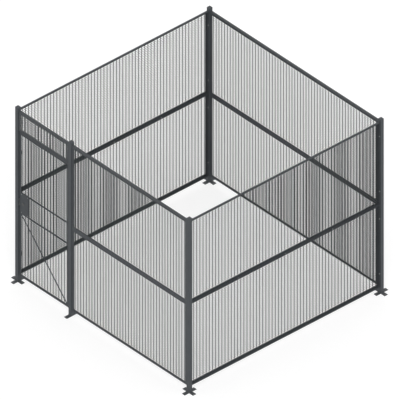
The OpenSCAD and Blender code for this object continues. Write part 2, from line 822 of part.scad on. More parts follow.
// Spindle and crank: at rest the pin stands 45 degrees to the right of straight up
module lock_crank() {
    arm = crank_pin_r + 1.8;
    spindle_y = cylinder_back + lock_gap;
    pin_y0 = bolt_mid_y - tail_t / 2 - lock_gap;
    color(zinc) at_lock() translate([backset, 0, 0]) union() {
        translate([0, spindle_y, 0]) along_y()
            cylinder(r = spindle_r, h = case_back + rose_t + hub_bore - spindle_y, $fn = bore_n);
        translate([0, crank_y, 0]) along_y() cylinder(r = 2 * spindle_r, h = tail_t + lock_gap);
        rotate([0, 45, 0]) {
            block([-arm, crank_y, 0], [arm, crank_y + tail_t, crank_r]);
            translate([0, crank_y, crank_r]) along_y() cylinder(r = arm + 1, h = tail_t);
            translate([0, pin_y0, crank_r]) along_y()
                cylinder(r = crank_pin_r, h = crank_y - pin_y0 + tail_t / 2);
        }
    }
}

// Deadbolt, drawn back, with the slotted tail plate that the crank's pin moves
module deadbolt() {
    rim = 4;
    slot = spindle_r + crank_play;
    pin_slot = crank_pin_r + crank_play;
    tail_h = 2 * (crank_r + pin_slot + rim);
    x1 = backset + bolt_throw + slot;
    color(satin) at_lock() translate([0, bolt_mid_y, 0]) difference() {
        union() {
            block([0, -deadbolt_t / 2, -deadbolt_h / 2], [deadbolt_l, deadbolt_t / 2, deadbolt_h / 2]);
            block([deadbolt_l - tail_root, -tail_t / 2, -tail_h / 2], [x1 + rim, tail_t / 2, tail_h / 2]);
        }
        block([backset - slot, -tail_t, -slot], [x1, tail_t, slot]);
        translate([backset + bolt_throw / 2, 0, 0])
            block([-pin_slot, -tail_t, 0], [pin_slot, tail_t, crank_r + pin_slot]);
    }
}

// Block in the case that guides the deadbolt's solid end
module bolt_guide() {
    x0 = angle_t + case_t;
    x1 = deadbolt_l - tail_root - bolt_throw - lock_gap;
    t = (deadbolt_t + guide_wall) / 2;
    h = deadbolt_h / 2 + guide_wall;
    color(zinc) at_lock() difference() {
        block([x0, bolt_mid_y - t, -h], [x1, case_back - case_t, h]);
        bolt_slot(x0 - eps, x1 + eps);
    }
}

module thumb_rose() {
    color(satin) at_lock() translate([backset, case_back, 0]) along_y() difference() {
        cylinder(r = rose_r, h = rose_t);
        translate([0, 0, -eps]) cylinder(r = spindle_r + hole_gap, h = rose_t + 2 * eps);
    }
}

// Hub with a flat wing, upright at rest
module thumb_turn() {
    hub = turn_h / 2;
    y0 = case_back + rose_t + slide_gap;
    color(satin) at_lock() translate([backset, y0, 0]) difference() {
        union() {
            along_y() cylinder(r = turn_r, h = hub);
            block([-turn_t / 2, hub / 2, -turn_l / 2], [turn_t / 2, turn_h, turn_l / 2]);
        }
        translate([0, -eps, 0]) along_y()
            cylinder(r = spindle_r + plug_gap, h = hub_bore + eps, $fn = bore_n);
    }
}

// ---- Strike and stops ----------------------------------------------------------------------

// Children at the two strike screws, z pointing into the post
module at_strike_screws() {
    step = strike_h / 2 - 15;
    for (s = [-1, 1]) translate([strike_t - leaf_gap, bolt_mid_y, s * step])
        rotate([0, -90, 0]) children();
}

module strike_plate() {
    color(satin) at_lock() difference() {
        block([-leaf_gap, bolt_mid_y - strike_w / 2, -strike_h / 2],
              [strike_t - leaf_gap, bolt_mid_y + strike_w / 2, strike_h / 2]);
        strike_slot(eps);
        at_strike_screws() clear_hole(strike_t);
    }
}

module strike_screws() {
    color(zinc) at_lock() at_strike_screws() union() pan_screw(strike_t + post_wall + strike_screw_out);
}

// Children at the stop clips' screws, z pointing from the leaf's edge to its middle
module at_clip_screws() {
    for (z = clip_levels) for (s = [-1, 1])
        at_latch(z) translate([0, post_w / 2 - screw_head_d / 2 - 1, s * clip_h / 4]) along_x() children();
}

// Bent plate on the latch stile that laps over the post's inner face
module stop_clips() {
    far = [angle_t + clip_t, clip_y + clip_t, clip_h / 2];
    color(steel) difference() {
        for (z = clip_levels) at_latch(z) union() {
            block([angle_t, web_y + edge_d + edge_fit, -clip_h / 2], far);
            block([clip_x0, clip_y, -clip_h / 2], far);
        }
        at_clip_screws() screw_hole(screw_d, angle_t + clip_t + eps);
    }
}

module stop_bumpers() {
    color(rubber) for (z = clip_levels) at_latch(z)
        block([clip_x0, clip_y - bumper_t, -clip_h / 2], [clip_x0 + clip_lap, clip_y, clip_h / 2]);
}

module stop_screws() {
    color(zinc) at_clip_screws() union() pan_screw(angle_t + clip_t);
}

// ---- Nodes ---------------------------------------------------------------------------------

post_left();
post_front();
post_right();
post_back();
post_jamb();
foot_left();
foot_front();
foot_right();
foot_back();
foot_jamb();
post_caps();
right_lower_frame();
right_upper_frame();
right_lower_mesh();
right_upper_mesh();
back_lower_frame();
back_upper_frame();
back_lower_mesh();
back_upper_mesh();
left_lower_frame();
left_upper_frame();
left_lower_mesh();
left_upper_mesh();
front_lower_frame();
front_upper_frame();
front_lower_mesh();
front_upper_mesh();
transom_frame();
transom_mesh();
panel_bolts();
panel_inserts();
splice_bolts();
splice_nuts();
door_frame();
door_mesh();
door_bar_upper();
door_bar_lower();
door_brace();
hinge_jamb_leaves();
hinge_door_leaves();
hinge_pins();
hinge_jamb_screws();
hinge_door_screws();
lock_case();
lock_cover();
cover_screws();
lock_cylinder();
cylinder_nut();
key_plug();
lock_crank();
thumb_turn();
thumb_rose();
deadbolt();
bolt_guide();
strike_plate();
strike_screws();
stop_clips();
stop_bumpers();
stop_screws();
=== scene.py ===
# %% [markdown]
# # A wire mesh cage with a door, dressed for its picture
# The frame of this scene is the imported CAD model: posts, angle frames, mesh panels, door, hinges
# and lock, all in metres with the floor at z = 0. This notebook adds what CAD leaves out: welded
# crossings in the mesh, weld beads, softened edges, and paint, plating and rubber as node
# materials. Nothing is moved, so every new piece has to land where its CAD solid stands.

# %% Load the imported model
import json
import math

import bmesh
import bpy
from mathutils import Matrix, Vector


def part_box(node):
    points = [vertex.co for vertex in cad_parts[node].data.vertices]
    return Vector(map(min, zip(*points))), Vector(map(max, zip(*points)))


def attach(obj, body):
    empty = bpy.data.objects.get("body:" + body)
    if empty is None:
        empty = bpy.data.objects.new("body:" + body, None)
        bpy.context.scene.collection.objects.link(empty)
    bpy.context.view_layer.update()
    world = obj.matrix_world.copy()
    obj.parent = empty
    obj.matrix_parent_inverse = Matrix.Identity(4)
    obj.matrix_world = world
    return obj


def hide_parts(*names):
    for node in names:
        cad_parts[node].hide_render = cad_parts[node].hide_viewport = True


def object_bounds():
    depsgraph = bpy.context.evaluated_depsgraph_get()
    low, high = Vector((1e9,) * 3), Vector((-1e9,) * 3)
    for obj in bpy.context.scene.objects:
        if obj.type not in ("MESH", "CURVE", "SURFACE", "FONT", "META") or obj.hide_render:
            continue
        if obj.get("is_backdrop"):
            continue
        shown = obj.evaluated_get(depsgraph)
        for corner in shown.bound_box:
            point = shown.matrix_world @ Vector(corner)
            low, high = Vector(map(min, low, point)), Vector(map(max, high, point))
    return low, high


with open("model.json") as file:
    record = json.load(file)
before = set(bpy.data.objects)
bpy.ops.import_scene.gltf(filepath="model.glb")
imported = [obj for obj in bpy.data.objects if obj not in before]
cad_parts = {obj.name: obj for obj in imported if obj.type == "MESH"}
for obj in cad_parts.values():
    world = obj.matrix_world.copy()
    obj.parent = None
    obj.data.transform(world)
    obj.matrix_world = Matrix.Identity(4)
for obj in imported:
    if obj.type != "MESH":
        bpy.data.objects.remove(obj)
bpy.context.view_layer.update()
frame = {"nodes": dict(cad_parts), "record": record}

# %% [markdown]
# ## Camera
# A catalogue drawing of such a cage has no vanishing points, so the camera is orthographic.
# Its direction is given by two angles, and its scale by how many metres the picture is wide.

# %% Aim the camera
AZIMUTH, ELEVATION = math.radians(48.2), math.radians(35.5)
PICTURE_WIDTH = 4.822
AIM = Vector((0.004, 0.005, 1.277))
CAMERA_DISTANCE, CLIP_END = 14, 100

camera = bpy.data.objects.new("camera", bpy.data.cameras.new("camera"))
bpy.context.scene.collection.objects.link(camera)
back = Vector((math.sin(AZIMUTH) * math.cos(ELEVATION),
               -math.cos(AZIMUTH) * math.cos(ELEVATION),
               math.sin(ELEVATION)))
camera.data.type = "ORTHO"
camera.data.ortho_scale = PICTURE_WIDTH
camera.data.clip_end = CLIP_END
camera.location = AIM + back * CAMERA_DISTANCE
camera.rotation_mode = "QUATERNION"
camera.rotation_quaternion = (-back).to_track_quat("-Z", "Y")
bpy.context.scene.camera = camera
print("camera at", [round(v, 2) for v in camera.location])

# %% [markdown]
# ## Building node trees in code
# Shaders and Geometry Nodes are both trees of nodes whose sockets are wired together. Writing
# each node in three lines would bury the idea, so one helper adds a node, sets its options and
# feeds its inputs. A feed is either a plain value or the output socket of another node.

# %% A helper that adds one node
def put(tree, kind, feeds=None, **options):
    """Adds a node and returns its outputs."""
    node = tree.nodes.new(kind)
    for key, value in options.items():
        setattr(node, key, value)
    for key, value in (feeds or {}).items():
        if isinstance(value, bpy.types.NodeSocket):
            tree.links.new(value, node.inputs[key])
        else:
            node.inputs[key].default_value = value
    return node.outputs


def calc(tree, operation, a, b=0.0):
    """One sum on two numbers or sockets."""
    return put(tree, "ShaderNodeMath", {0: a, 1: b}, operation=operation)[0]


print("node helpers:", put.__name__, "and", calc.__name__)

# %% [markdown]
# ## Studio
# The drawing gives every face nearly the same tone, so the light is soft: the world lights from
# everywhere, and one wide sun comes from the viewer's side, a little from the right and above.
# Camera rays and reflections see a white world. Objects are lit by a dimmer one, which leaves
# room for the sun. The floor is a plain diffuse grey with a glow that the same rays see and that
# lights nothing, so that it reads as white paper and still keeps a soft shadow.

# %% World and sun
WORLD_LIGHT = 0.72
SUN_POWER = 1.45
SUN_SOFTNESS = math.radians(25)
SUN_FROM = Vector((0.66, -0.55, 0.55))


def seen_rays(tree):
    """1 for the rays that show a surface, 0 for those that carry its light to others."""
    rays = put(tree, "ShaderNodeLightPath")
    mirrored = calc(tree, "MAXIMUM", rays["Is Glossy Ray"], rays["Is Transmission Ray"])
    return calc(tree, "MAXIMUM", rays["Is Camera Ray"], mirrored)


world = bpy.data.worlds.new("studio")
bpy.context.scene.world = world
world.use_nodes = True
tree = world.node_tree
tree.nodes.clear()
extra = calc(tree, "MULTIPLY", seen_rays(tree), 1 - WORLD_LIGHT)
strength = calc(tree, "ADD", WORLD_LIGHT, extra)
glow = put(tree, "ShaderNodeBackground", {"Color": (1, 1, 1, 1), "Strength": strength})
put(tree, "ShaderNodeOutputWorld", {"Surface": glow[0]})

sun = bpy.data.objects.new("sun", bpy.data.lights.new("sun", "SUN"))
sun.data.energy = SUN_POWER
sun.data.angle = SUN_SOFTNESS
sun.rotation_mode = "QUATERNION"
sun.rotation_quaternion = (-SUN_FROM).to_track_quat("-Z", "Y")
bpy.context.scene.collection.objects.link(sun)
print("world light", WORLD_LIGHT, "sun", SUN_POWER)

# %% Floor
FLOOR_HALF = 60
FLOOR_DROP = 0.0003
FLOOR_GREY = 0.40
FLOOR_GLOW = 0.68

floor_paint = bpy.data.materials.new("paper_white")
floor_paint.use_nodes = True
tree = floor_paint.node_tree
tree.nodes.clear()
matt = put(tree, "ShaderNodeBsdfDiffuse", {"Color": (FLOOR_GREY,) * 3 + (1,)})
lift = calc(tree, "MULTIPLY", seen_rays(tree), FLOOR_GLOW)
glow = put(tree, "ShaderNodeEmission", {"Strength": lift})
both = put(tree, "ShaderNodeAddShader", {0: matt[0], 1: glow[0]})
put(tree, "ShaderNodeOutputMaterial", {"Surface": both[0]})

ways = ((-1, -1), (1, -1), (1, 1), (-1, 1))
corners = [(x * FLOOR_HALF, y * FLOOR_HALF, -FLOOR_DROP) for x, y in ways]
floor_mesh = bpy.data.meshes.new("floor")
floor_mesh.from_pydata(corners, [], [(0, 1, 2, 3)])
floor_mesh.materials.append(floor_paint)
floor = bpy.data.objects.new("floor", floor_mesh)
bpy.context.scene.collection.objects.link(floor)
floor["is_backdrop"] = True
bpy.context.scene.view_settings.view_transform = "Standard"
print("floor", 2 * FLOOR_HALF, "m wide")

# %% [markdown]
# ## Powder coat
# The steel is sprayed with dry powder and baked. The film has a fine orange peel, a satin sheen and
# slight drifts in tone, and floor dust settles on whatever is near the ground. A painted picture
# would need every piece unwrapped. Noise on Object coordinates needs nothing of the kind and runs
# on from piece to piece, because all of them sit at the origin, and height there places the dust.
# The frames are coated a little darker than the posts, and the wire much darker again, partly as
# painted shade of the wires shading each other.

# %% Powder coat material
NOISE_LOW, NOISE_HIGH = 0.3, 0.7
DRIFT_SCALE, DRIFT_DARK, DRIFT_LIGHT = 2.6, 0.93, 1.07
DUST_SCALE, DUST_TOP, DUST_MOST = 38, 0.12, 0.30
DUST_LOW, DUST_HIGH = 0.4, 0.75
DUST_COLOUR = (0.16, 0.155, 0.145)
SHEEN_SCALE, SHEEN_LESS, SHEEN_MORE = 24, 0.05, 0.07
PEEL_SCALE, PEEL_STRENGTH = 420, 0.35
COAT_SPECULAR = 0.25


def ramp(tree, value, low, high, to_low, to_high):
    """Maps a number from one range onto another."""
    feeds = {"Value": value, "From Min": low, "From Max": high, "To Min": to_low, "To Max": to_high}
    return put(tree, "ShaderNodeMapRange", feeds)[0]


def noise(tree, scale, detail, stretch=None):
    """Noise on Object coordinates, stretched along an axis if asked."""
    place = put(tree, "ShaderNodeTexCoord")["Object"]
    if stretch:
        place = put(tree, "ShaderNodeMapping", {"Vector": place, "Scale": stretch})[0]
    feeds = {"Vector": place, "Scale": scale, "Detail": detail}
    return put(tree, "ShaderNodeTexNoise", feeds)["Fac"]


def blend_colours(tree, factor, low, high):
    """Mixes two colours by a factor socket."""
    feeds = {0: factor, 6: low + (1,), 7: high + (1,)}
    return put(tree, "ShaderNodeMix", feeds, data_type="RGBA")[2]


def tone(colour, gain):
    """A colour made lighter or darker."""
    return tuple(min(1.0, c * gain) for c in colour)


def powder_coat(name, colour, sheen, peel):
    """Satin coat: colour, roughness and the depth of its orange peel in metres."""
    material = bpy.data.materials.new(name)
    material.use_nodes = True
    tree = material.node_tree
    shader = tree.nodes["Principled BSDF"]
    drift = ramp(tree, noise(tree, DRIFT_SCALE, 3), NOISE_LOW, NOISE_HIGH, 0, 1)
    paint = blend_colours(tree, drift, tone(colour, DRIFT_DARK), tone(colour, DRIFT_LIGHT))
    height = put(tree, "ShaderNodeSeparateXYZ", {0: put(tree, "ShaderNodeTexCoord")["Object"]})["Z"]
    low_down = ramp(tree, height, 0, DUST_TOP, DUST_MOST, 0)
    patches = ramp(tree, noise(tree, DUST_SCALE, 4), DUST_LOW, DUST_HIGH, 0, 1)
    dust = calc(tree, "MULTIPLY", low_down, patches)
    feeds = {0: dust, 6: paint, 7: DUST_COLOUR + (1,)}
    coated = put(tree, "ShaderNodeMix", feeds, data_type="RGBA")[2]
    tree.links.new(coated, shader.inputs["Base Color"])
    rough = ramp(tree, noise(tree, SHEEN_SCALE, 3), NOISE_LOW, NOISE_HIGH,
                 sheen - SHEEN_LESS, sheen + SHEEN_MORE)
    tree.links.new(rough, shader.inputs["Roughness"])
    shader.inputs["Specular IOR Level"].default_value = COAT_SPECULAR
    bump = {"Height": noise(tree, PEEL_SCALE, 1), "Strength": PEEL_STRENGTH, "Distance": peel}
    tree.links.new(put(tree, "ShaderNodeBump", bump)["Normal"], shader.inputs["Normal"])
    return material


post_coat = powder_coat("post_coat", (0.064, 0.071, 0.078), 0.52, 0.0004)
frame_coat = powder_coat("frame_coat", (0.056, 0.062, 0.068), 0.50, 0.0003)
# The wire coat is much darker than the frame coat, partly as painted shade of the wires shading
# each other.
wire_coat_with_shade = powder_coat("wire_coat_with_shade", (0.026, 0.033, 0.034), 0.55, 0.0002)
print("coats:", post_coat.name, frame_coat.name, wire_coat_with_shade.name)

# %% [markdown]
# ## Zinc, nickel and rubber
# Bolts, screws and hinges are zinc plated: a pale metal whose tone drifts in a fine crystalline
# bloom. Hinge pins, strike plate, deadbolt and thumb turn are satin nickel, brushed along one
# way, which is noise stretched a long way, and the lock cylinder is dark nickel. One function
# makes all three metals, because they differ only in a few numbers. The bumpers are matt black
# rubber with moulded pores.

# %% Plated metals
BLOOM_SCALE, BLOOM_LOW, BLOOM_HIGH = 90, 0.35, 0.65
BRUSH_SCALE, BRUSH_STRENGTH, BRUSH_DEPTH = 300, 0.2, 0.0001
BRUSH_ROUGH = 0.08


def metal(name, colour, roughness, grain, bloom):
    """Plated metal: grain is the stretch of its brush marks, bloom how much its tone drifts."""
    material = bpy.data.materials.new(name)
    material.use_nodes = True
    tree = material.node_tree
    shader = tree.nodes["Principled BSDF"]
    shader.inputs["Metallic"].default_value = 1.0
    cloud = ramp(tree, noise(tree, BLOOM_SCALE, 3), BLOOM_LOW, BLOOM_HIGH, 0, 1)
    plated = blend_colours(tree, cloud, tone(colour, 1 - bloom), tone(colour, 1 + bloom))
    tree.links.new(plated, shader.inputs["Base Color"])
    marks = noise(tree, BRUSH_SCALE, 2, grain)
    rough = ramp(tree, marks, NOISE_LOW, NOISE_HIGH,
                 roughness - BRUSH_ROUGH, roughness + BRUSH_ROUGH)
    tree.links.new(rough, shader.inputs["Roughness"])
    bump = {"Height": marks, "Strength": BRUSH_STRENGTH, "Distance": BRUSH_DEPTH}
    tree.links.new(put(tree, "ShaderNodeBump", bump)["Normal"], shader.inputs["Normal"])
    return material


zinc_plate = metal("zinc_plate", (0.52, 0.53, 0.53), 0.42, (1, 1, 1), 0.12)
satin_nickel = metal("satin_nickel", (0.60, 0.59, 0.56), 0.32, (12, 12, 1), 0.04)
black_nickel = metal("black_nickel", (0.10, 0.10, 0.10), 0.34, (12, 12, 1), 0.06)
print("metals:", zinc_plate.name, satin_nickel.name, black_nickel.name)

# %% Bumper rubber
PORE_SCALE, PORE_STRENGTH, PORE_DEPTH = 900, 0.4, 0.0002
RUBBER_DARK, RUBBER_LIGHT = (0.018, 0.018, 0.018), (0.035, 0.034, 0.033)
RUBBER_ROUGH = 0.8

bumper_rubber = bpy.data.materials.new("bumper_rubber")
bumper_rubber.use_nodes = True
tree = bumper_rubber.node_tree
shader = tree.nodes["Principled BSDF"]
pores = noise(tree, PORE_SCALE, 2)
tree.links.new(blend_colours(tree, pores, RUBBER_DARK, RUBBER_LIGHT), shader.inputs["Base Color"])
shader.inputs["Roughness"].default_value = RUBBER_ROUGH
feeds = {"Height": pores, "Strength": PORE_STRENGTH, "Distance": PORE_DEPTH}
tree.links.new(put(tree, "ShaderNodeBump", feeds)["Normal"], shader.inputs["Normal"])
print("rubber:", bumper_rubber.name)

# %% [markdown]
# ## From a node tree to a plain mesh
# A Geometry Nodes modifier is only a recipe until something evaluates it. The export wants real
# faces, so each recipe is evaluated once, its result kept as a mesh, and the modifier removed.

# %% Helpers for Geometry Nodes
KINDS = {"geometry": "NodeSocketGeometry", "number": "NodeSocketFloat", "count": "NodeSocketInt",
         "vector": "NodeSocketVector", "material": "NodeSocketMaterial"}


def recipe(name, **inputs):
    """A new Geometry Nodes tree with named inputs, given as name=kind."""
    tree = bpy.data.node_groups.new(name, "GeometryNodeTree")
    for label, kind in inputs.items():
        tree.interface.new_socket(label, in_out="INPUT", socket_type=KINDS[kind])
    tree.interface.new_socket("geometry", in_out="OUTPUT", socket_type=KINDS["geometry"])
    return tree, put(tree, "NodeGroupInput")


def serve(tree, parts, finish):
    """Joins the parts, makes them real faces, paints them and ends the tree."""
    joined = tree.nodes.new("GeometryNodeJoinGeometry")
    for part in parts:
        tree.links.new(part, joined.inputs[0])
    real = put(tree, "GeometryNodeRealizeInstances", {0: joined.outputs[0]})[0]
    done = put(tree, "GeometryNodeSetMaterial", {"Geometry": real, "Material": finish})[0]
    put(tree, "NodeGroupOutput", {0: done})


def link_mesh(name, mesh):
    """A new object at the origin that shows a mesh."""
    piece = bpy.data.objects.new(name, mesh)
    bpy.context.scene.collection.objects.link(piece)
    return piece


def freeze(piece):
    """Replaces a piece's mesh by what its modifiers make of it."""
    graph = bpy.context.evaluated_depsgraph_get()
    mesh = bpy.data.meshes.new_from_object(piece.evaluated_get(graph))
    piece.modifiers.clear()
    piece.data = mesh
    return mesh


def cook(piece, tree, **values):
    """Runs a tree on a piece with the given inputs and freezes the result."""
    modifier = piece.modifiers.new(tree.name, "NODES")
    modifier.node_group = tree
    sockets = {s.name: s.identifier for s in tree.interface.items_tree if s.in_out == "INPUT"}
    for label, value in values.items():
        modifier[sockets[label]] = value
    return freeze(piece)


print("a recipe's inputs can be", ", ".join(KINDS))

# %% [markdown]
# ## Where the walls are
# Every wall of the cage is the door wall turned by 90 degrees. Its panels are drawn flat, with x
# along the wall, z up, and y from the panel's web to its open side, and one matrix per wall
# stands them in place. The panels of the right and back walls are hung the other way round, so
# their matrix has half a turn more. The sizes are those of the CAD source, in millimetres here
# because that is how the real thing is drawn.

# %% Sizes shared with the CAD source
MM = 0.001
HALF = 1549.4 * MM
POST_W = 50.8 * MM
FOOT_T, FOOT_L = 6.35 * MM, 190.5 * MM
LEG, WEB = 31.75 * MM, 3.175 * MM
WALL_NAMES = ["front", "right", "back", "left"]
TURNED = {1, 2}


def wall(i):
    """Stands a wall's flat drawing in its place."""
    half_turn = math.radians(180 if i in TURNED else 0)
    on_its_line = Matrix.Translation((0, -HALF, 0)) @ Matrix.Rotation(half_turn, 4, "Z")
    return Matrix.Rotation(math.radians(90 * i), 4, "Z") @ on_its_line


def flat_box(node, i):
    """A node's corners in the flat drawing of its wall."""
    turn = wall(i).inverted()
    ends = [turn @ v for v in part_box(node)]
    low = Vector(map(min, *ends))
    high = Vector(map(max, *ends))
    return low, high


low, high = flat_box("right_lower_frame", 1)
print("a wall panel is", [round((b - a) / MM, 1) for a, b in zip(low, high)], "mm")

# %% [markdown]
# ## Welded wire
# The mesh is a layer of upright wires with a layer of level wires behind it, pressed together and
# resistance welded where they cross, 2 inches apart one way and 1 inch the other. Modelling
# thousands of crossings by hand is hopeless, but the rule is short: points on a line give the
# wires, points on a grid give the welds, and Instance on Points puts a rod or a nugget on each.
# On the door the wires stop at the lock case, so each rod takes its length from where it starts.

# %% The welded wire tree
rods, got = recipe("welded_wire", upright_count="count", level_count="count", first="vector",
                   pitch="vector", near="vector", far="vector", cut_low="vector", cut_high="vector",
                   upright_r="number", level_r="number", upright_y="number", level_y="number",
                   nugget="vector", finish="material")
ROD_SIDES = 8


def split(tree, socket):
    """The three numbers of a vector."""
    return put(tree, "ShaderNodeSeparateXYZ", {0: socket})


def join(tree, x=0.0, y=0.0, z=0.0):
    """A vector from three numbers."""
    return put(tree, "ShaderNodeCombineXYZ", {0: x, 1: y, 2: z})[0]


def inside(tree, value, low, high):
    """1 where a value lies between two others."""
    above, below = calc(tree, "GREATER_THAN", value, low), calc(tree, "LESS_THAN", value, high)
    return calc(tree, "MULTIPLY", above, below)


here = split(rods, put(rods, "GeometryNodeInputPosition")[0])
first, pitch = split(rods, got["first"]), split(rods, got["pitch"])
near, far = split(rods, got["near"]), split(rods, got["far"])
cut_low, cut_high = split(rods, got["cut_low"]), split(rods, got["cut_high"])
over_case = inside(rods, here["X"], cut_low["X"], cut_high["X"])
beside_case = inside(rods, here["Z"], cut_low["Z"], cut_high["Z"])


def rod(radius):
    """One closed rod of length 1 that stands on its end, round to the eye."""
    feeds = {"Vertices": ROD_SIDES, "Radius": radius, "Depth": 1.0}
    tube = put(rods, "GeometryNodeMeshCylinder", feeds)
    smooth = {"Geometry": tube["Mesh"], "Selection": tube["Side"]}
    round_rod = put(rods, "GeometryNodeSetShadeSmooth", smooth)[0]
    on_end = {"Geometry": round_rod, "Translation": (0, 0, 0.5)}
    return put(rods, "GeometryNodeTransform", on_end)[0]


def row(count, start, step):
    """Points in a line."""
    feeds = {"Count": count, "Start Location": start, "Offset": step}
    return put(rods, "GeometryNodeMeshLine", feeds, mode="OFFSET")[0]


def rods_on(points, shape, length, **extra):
    """A rod on each point, as long as the length field says there."""
    feeds = {"Points": points, "Instance": shape, "Scale": join(rods, 1.0, 1.0, length)}
    feeds.update({key.title(): value for key, value in extra.items()})
    return put(rods, "GeometryNodeInstanceOnPoints", feeds)[0]


print("welded wire tree has", len(rods.nodes), "nodes so far")

# %% Upright rods, in two runs where the lock case is in the way
upright = rod(got["upright_r"])
across = join(rods, pitch["X"])
top = calc(rods, "ADD", far["Z"],
           calc(rods, "MULTIPLY", over_case, calc(rods, "SUBTRACT", cut_low["Z"], far["Z"])))
feet_row = row(got["upright_count"], join(rods, first["X"], got["upright_y"], near["Z"]), across)
lower_runs = rods_on(feet_row, upright, calc(rods, "SUBTRACT", top, near["Z"]))
head_start = join(rods, first["X"], got["upright_y"], cut_high["Z"])
head_row = row(got["upright_count"], head_start, across)
upper_length = calc(rods, "SUBTRACT", far["Z"], cut_high["Z"])
upper_runs = rods_on(head_row, upright, upper_length, selection=over_case)
print("with its upright rods the tree has", len(rods.nodes), "nodes")

# %% Level rods, which start beyond the lock case
level = rod(got["level_r"])
lowest = join(rods, near["X"], got["level_y"], first["Z"])
side_row = row(got["level_count"], lowest, join(rods, 0.0, 0.0, pitch["Z"]))
shift = calc(rods, "MULTIPLY", beside_case, calc(rods, "SUBTRACT", cut_high["X"], near["X"]))
feeds = {"Geometry": side_row, "Offset": join(rods, shift)}
shifted = put(rods, "GeometryNodeSetPosition", feeds)[0]
lie_down = (0, math.radians(90), 0)
levels = rods_on(shifted, level, calc(rods, "SUBTRACT", far["X"], here["X"]), rotation=lie_down)
print("with its level rods the tree has", len(rods.nodes), "nodes")

# %% Weld nuggets on a grid of points, none over the case
span_x = calc(rods, "MULTIPLY", pitch["X"], calc(rods, "SUBTRACT", got["upright_count"], 1))
span_z = calc(rods, "MULTIPLY", pitch["Z"], calc(rods, "SUBTRACT", got["level_count"], 1))
grid = {"Size X": span_x, "Size Y": span_z,
        "Vertices X": got["upright_count"], "Vertices Y": got["level_count"]}
flat_grid = put(rods, "GeometryNodeMeshGrid", grid)[0]
middle = join(rods, calc(rods, "ADD", first["X"], calc(rods, "DIVIDE", span_x, 2)),
              calc(rods, "DIVIDE", calc(rods, "ADD", got["upright_y"], got["level_y"]), 2),
              calc(rods, "ADD", first["Z"], calc(rods, "DIVIDE", span_z, 2)))
stand_up = {"Geometry": flat_grid, "Translation": middle, "Rotation": (math.radians(90), 0, 0)}
crossings = put(rods, "GeometryNodeTransform", stand_up)[0]
ball = put(rods, "GeometryNodeMeshIcoSphere", {"Radius": 1.0, "Subdivisions": 1})[0]
soft_ball = put(rods, "GeometryNodeSetShadeSmooth", {"Geometry": ball})[0]
clear = calc(rods, "SUBTRACT", 1, calc(rods, "MULTIPLY", over_case, beside_case))
feeds = {"Points": crossings, "Selection": clear, "Instance": soft_ball, "Scale": got["nugget"]}
nuggets = put(rods, "GeometryNodeInstanceOnPoints", feeds)[0]
serve(rods, [lower_runs, upper_runs, levels, nuggets], got["finish"])
print("welded wire tree has", len(rods.nodes), "nodes")

# %% [markdown]
# Edge bars tie the wire ends together and are coated with the frames, so they are a piece of
# their own. Their outline is a plain rectangle, or on the door a rectangle with a bite for the
# lock case, and the inner outline is the same one moved in by the bar's width, so corresponding
# points make neat mitres.

# %% Edge bars from two matching outlines
RING_GAP, RING_W, RING_D = 0.3 * MM, 8 * MM, 15.6 * MM


def band(name, outer, inner, y0, y1):
    """A flat bar bent round an outline, as a mesh between two matching loops."""
    bm = bmesh.new()
    loops = [[bm.verts.new((x, y, z)) for x, z in loop]
             for loop in (outer, inner) for y in (y0, y1)]
    count = len(outer)
    outside_front, outside_back, inside_front, inside_back = loops
    around = [(outside_front, outside_back), (outside_back, inside_back),
              (inside_back, inside_front), (inside_front, outside_front)]
    for a, b in around:
        for k in range(count):
            n = (k + 1) % count
            bm.faces.new((a[k], b[k], b[n], a[n]))
    bmesh.ops.recalc_face_normals(bm, faces=bm.faces)
    mesh = bpy.data.meshes.new(name)
    bm.to_mesh(mesh)
    bm.free()
    return mesh


def outline(width, height, inset, bite=None):
    """Corner points of a panel moved in by inset, with an optional bite (x, low z, high z)."""
    right, top = width - inset, height - inset
    points = [(inset, inset), (right, inset), (right, top), (inset, top)]
    if bite:
        x, z0, z1 = bite
        points += [(inset, z1), (x, z1), (x, z0), (inset, z0)]
    return points


print("edge bar", round(RING_W / MM, 1), "by", round(RING_D / MM, 1), "mm")

# %% [markdown]
# ## Mesh panels
# A sheet of mesh is cut to its frame, with as many wires as fit between the edge bars, set in the
# middle. Each sheet could be placed by hand, but then it could drift from the solid it stands
# for. So the corners of the frame are read back, and the number of wires follows from the pitch
# by the same rule as in the CAD source. There the two layers stand just clear of each other, and
# here they sink together by SINK, as welding presses them.

# %% Make the mesh of every panel
PITCH_X, PITCH_Z = 50.8 * MM, 25.4 * MM
UPRIGHT_R, LEVEL_R = 4 * MM, 3 * MM
UPRIGHT_SET = WEB + 1 * MM + UPRIGHT_R
SINK = 0.7 * MM
LEVEL_SET = UPRIGHT_SET + UPRIGHT_R + LEVEL_R - SINK
NUGGET = (UPRIGHT_R * 0.98, 2.4 * MM, LEVEL_R * 1.25)
# a cut that holds no wire, because its low corner lies above its high one
NO_CUT = (Vector((9, 0, 9)), Vector((8, 0, 8)))
ROUND_OFF = 1e-6


def spread(length, step):
    """How many wires fit, and where the first one goes, as the CAD source has it."""
    margin = WEB + RING_GAP + RING_W
    count = math.floor((length - 2 * margin) / step + ROUND_OFF)
    return count, length / 2 - (count - 1) / 2 * step


